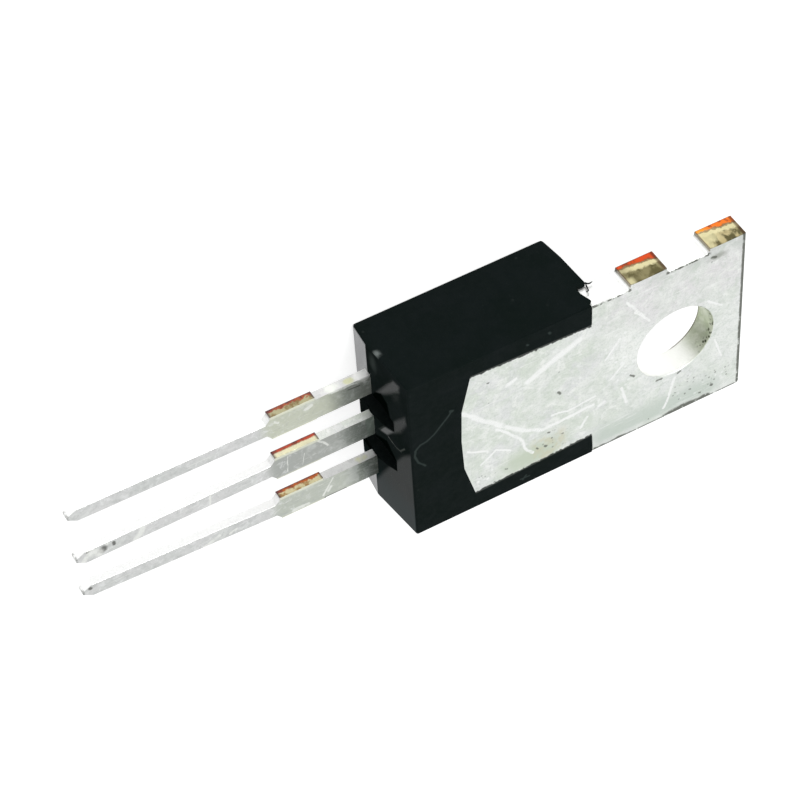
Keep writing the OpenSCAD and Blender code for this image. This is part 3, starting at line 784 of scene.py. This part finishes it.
def solder_material():
    s = Shader("solder")
    lumps = s.noise(5.0, 3.0, 0.6)
    color = s.mix(s.ramp(lumps, 0.4, 0.65), (0.27, 0.27, 0.28), (0.42, 0.42, 0.43))
    return s.finish(color, s.ramp(lumps, 0.3, 0.7, 0.35, 0.55), s.bump(lumps, 0.02), Metallic=1.0)


def silicon_material():
    s = Shader("silicon")
    rows = s.math("PINGPONG", s.part_of(s.y, 9.0), 0.5)
    color = s.mix(s.ramp(rows, 0.18, 0.26), (0.06, 0.07, 0.12), (0.24, 0.24, 0.27))
    color = s.paint(color, ((0.12, 0.10, 0.16), 0.3, s.ramp(s.noise(6.0), 0.5, 0.7)))
    return s.finish(color, s.ramp(rows, 0.1, 0.3, 0.08, 0.25), s.bump(rows, 0.003), Metallic=0.6)


def wire_material():
    s = Shader("wire")
    drawn = s.noise(1.0, 2.0, 0.6, at=s.turned(0, 2.0, 30))
    color = s.mix(s.ramp(drawn, 0.4, 0.65), (0.74, 0.74, 0.73), (0.88, 0.88, 0.87))
    return s.finish(color, s.ramp(drawn, 0.3, 0.7, 0.22, 0.38), s.bump(drawn, 0.004), Metallic=1.0)


# ---------------------------------------------------------------- pieces


def split_edge(bm, start, end, inner):
    """Adds points to the straight edge from start to end, which breaks its line."""
    start, end = Vector(start) * MM, Vector(end) * MM

    def at(vert, place):
        return (vert.co - place).length < SAME_CORNER

    for edge in bm.edges:
        first, last = edge.verts
        if at(first, end) and at(last, start):
            first, last = last, first
        if at(first, start) and at(last, end):
            for point in inner:
                edge, vert = bmesh.utils.edge_split(edge, first, 0.5)
                vert.co = Vector(point) * MM
                first = vert
                edge = next(e for e in vert.link_edges if e.other_vert(vert) == last)
            return
    raise ValueError("no edge there")


def set_materials(mesh, *materials):
    mesh.materials.clear()
    for material in materials:
        mesh.materials.append(material)


def worked_piece(name, node, rules, materials, broken=()):
    """A copy of a CAD node whose edges are rounded.

    rules gives an edge's radius in millimetres from its two ends, and broken lists the edges that
    split_edge works on.
    """
    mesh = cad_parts[node].data.copy()
    mesh.name = name
    bm = bmesh.new()
    bm.from_mesh(mesh)
    bmesh.ops.remove_doubles(bm, verts=bm.verts, dist=SAME_POINT)
    bmesh.ops.dissolve_limit(bm, angle_limit=math.radians(FLAT_DEGREES), verts=bm.verts,
                              edges=bm.edges)
    for start, end, inner in broken:
        split_edge(bm, start, end, inner)
    bm.edges.index_update()
    radii = {}
    for edge in bm.edges:
        if len(edge.link_faces) != 2:
            continue
        turn = math.degrees(edge.calc_face_angle(0))
        edge.smooth = turn < SHADED_SMOOTH_DEGREES
        if turn > ROUNDED_DEGREES:
            radius = rules(*(vert.co / MM for vert in edge.verts))
            if radius:
                radii[edge.index] = radius
    for face in bm.faces:
        face.smooth = True
    widest = max(radii.values())
    layer = bm.edges.layers.float.new("bevel_weight_edge")
    bm.edges.ensure_lookup_table()
    for edge in bm.edges:
        if edge.index in radii:
            edge[layer] = radii[edge.index] / widest
    bm.to_mesh(mesh)
    bm.free()
    obj = link(bpy.data.objects.new(name, mesh))
    bevel = obj.modifiers.new("edges", "BEVEL")
    bevel.limit_method = "WEIGHT"
    bevel.width = widest * MM
    bevel.segments = BEVEL_SEGMENTS
    bevel.use_clamp_overlap = False
    bevel.harden_normals = True
    set_materials(mesh, *materials)
    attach(obj, "root")
    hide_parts(node)
    return obj


def near(value, target, slack=0.012):
    return abs(value - target) < slack


def on_planes(p):
    """Names of the outer planes of the body that a point lies on."""
    x, y, z = p.x - BODY_END, abs(p.y), -p.z
    found = set()
    if near(z, 0):
        found.add("back")
    if near(z, BODY_T):
        found.add("front")
    if near(y, HALF_W - abs(z - PARTING) * math.tan(SIDE_DRAFT)):
        found.add("side")
    if near(x, (abs(z - PARTING) - PARTING) * math.tan(END_DRAFT)):
        found.add("leads")
    if z > TAB_T - 0.01 and near(x, BODY_L - (z - TAB_T) * math.tan(END_DRAFT)):
        found.add("tab")
    if near(z, TAB_T) and x > STRIP_L - 0.06:
        found.add("step")
    if near(x, STRIP_L) and z < TAB_T + 0.01:
        found.add("strip")
    return found


def body_rules(a, b):
    """Radii of the moulding: largest around the front, and nearly sharp where it meets the header."""
    shared = on_planes(a) & on_planes(b)
    if len(shared) < 2:
        return 0
    if "front" in shared:
        return 0.16
    if "side" in shared and ("leads" in shared or "tab" in shared):
        return 0.10
    if "back" in shared and ("side" in shared or "leads" in shared):
        return 0.05
    return 0.03


def header_rules(a, b):
    """Radii of the header: its lead, the rim of its hole, and the back and front edges of its tab."""
    for p in (a, b):
        if -p.z > TAB_T + 0.01 and p.x > BODY_END - 0.3:
            return 0
    level = near(a.z, b.z)
    if max(a.x, b.x) < BODY_END - 0.2:
        return 0.02
    if level and near(a.z, 0):
        if max(math.hypot(a.x, a.y), math.hypot(b.x, b.y)) < HOLE_R + 0.125:
            return 0.08
        if min(a.x, b.x) > TAB_START - 0.06:
            return 0.04
        return 0
    if level and near(a.z, -TAB_T) and min(a.x, b.x) > BODY_END + BODY_L - 0.1:
        return 0.03
    return 0


def lead_rules(a, b):
    """One small radius, outside the body only."""
    return 0.02 if max(a.x, b.x) < BODY_END - 0.2 else 0


def add_flash_curl(material):
    """Thin threads of torn moulding flash beside the upper edge of the body."""
    curve = bpy.data.curves.new("flash_curl", "CURVE")
    curve.dimensions = "3D"
    curve.bevel_depth = CURL_R * MM
    curve.bevel_resolution = 2
    curve.use_fill_caps = True
    for points in CURL:
        spline = curve.splines.new("POLY")
        spline.points.add(len(points) - 1)
        for knot, (x, z) in zip(spline.points, points):
            knot.co = (*(Vector((x + BODY_END, CURL_Y, -z)) * MM), 1)
            knot.radius = 1.0
        spline.points[-1].radius = 0.5
    obj = link(bpy.data.objects.new("flash_curl", curve))
    curve.materials.append(material)
    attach(obj, "root")


# ---------------------------------------------------------------- floor and world


def floor_material():
    """Grey paint that takes shadows, and looks nearly white to the camera and in reflections."""
    mat = bpy.data.materials.new("floor")
    mat.use_nodes = True
    tree = mat.node_tree
    tree.nodes.clear()
    paint = tree.nodes.new("ShaderNodeBsdfDiffuse")
    paint.inputs["Color"].default_value = (0.42, 0.42, 0.42, 1)
    rays = tree.nodes.new("ShaderNodeLightPath").outputs
    strength = rays["Is Camera Ray"]
    for kind, other in (("MAXIMUM", rays["Is Glossy Ray"]), ("MAXIMUM", rays["Is Transmission Ray"]),
                        ("MULTIPLY", None)):
        node = tree.nodes.new("ShaderNodeMath")
        node.operation = kind
        tree.links.new(strength, node.inputs[0])
        if other:
            tree.links.new(other, node.inputs[1])
        else:
            node.inputs[1].default_value = 0.74
        strength = node.outputs[0]
    glow = tree.nodes.new("ShaderNodeEmission")
    tree.links.new(strength, glow.inputs["Strength"])
    add = tree.nodes.new("ShaderNodeAddShader")
    tree.links.new(paint.outputs[0], add.inputs[0])
    tree.links.new(glow.outputs[0], add.inputs[1])
    out = tree.nodes.new("ShaderNodeOutputMaterial")
    tree.links.new(add.outputs[0], out.inputs[0])
    return mat


def add_floor():
    low = cad_bounds[0][2] - 0.005 * MM
    mesh = bpy.data.meshes.new("floor")
    mesh.from_pydata([(-1, -1, low), (1, -1, low), (1, 1, low), (-1, 1, low)], [], [(0, 1, 2, 3)])
    mesh.materials.append(floor_material())
    link(bpy.data.objects.new("floor", mesh))


def set_world():
    world = bpy.data.worlds.new("world")
    bpy.context.scene.world = world
    world.use_nodes = True
    sky = world.node_tree.nodes["Background"]
    sky.inputs["Color"].default_value = (0.98, 1.0, 0.995, 1)
    sky.inputs["Strength"].default_value = 0.88


# ---------------------------------------------------------------- the part and its surroundings

add_camera()
resin = resin_material()
resin_end = resin_end_material()
tin = tin_material()
lead_tin = lead_material()

ragged_corner = [
    (on_side(BODY_L, TAB_T), on_side(STRIP_L, TAB_T), [on_side(*point) for point in STEP_BREAK]),
    (on_side(STRIP_L, TAB_T), on_side(STRIP_L, 0), [on_side(*point) for point in STRIP_BREAK])]
moulding = worked_piece("moulding_body", "moulding", body_rules, (resin, resin_end), ragged_corner)
for poly in moulding.data.polygons:
    at = poly.center / MM
    outer = at.x - BODY_END < (abs(-at.z - PARTING) - PARTING) * math.tan(END_DRAFT) + 0.02
    poly.material_index = 1 if outer and poly.normal.x < -0.9 else 0

header = worked_piece("header_plate", "header", header_rules, (tin, lead_tin))
for poly in header.data.polygons:
    poly.material_index = 1 if poly.center.x / MM < BODY_END + 1 else 0

for node in ("gate_lead", "drain_lead"):
    worked_piece(node + "_strip", node, lead_rules, (lead_tin,))
add_flash_curl(resin)

inner = {"die_solder": solder_material(), "die": silicon_material()}
wire = wire_material()
for name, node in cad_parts.items():
    if name in inner or "wire" in name:
        set_materials(node.data, inner.get(name, wire))

add_floor()
set_world()
add_area("key", (0.05, 0.27, 0.20), 0.16, 0.6, (1.0, 0.995, 0.98))
bpy.context.scene.view_settings.view_transform = "Standard"
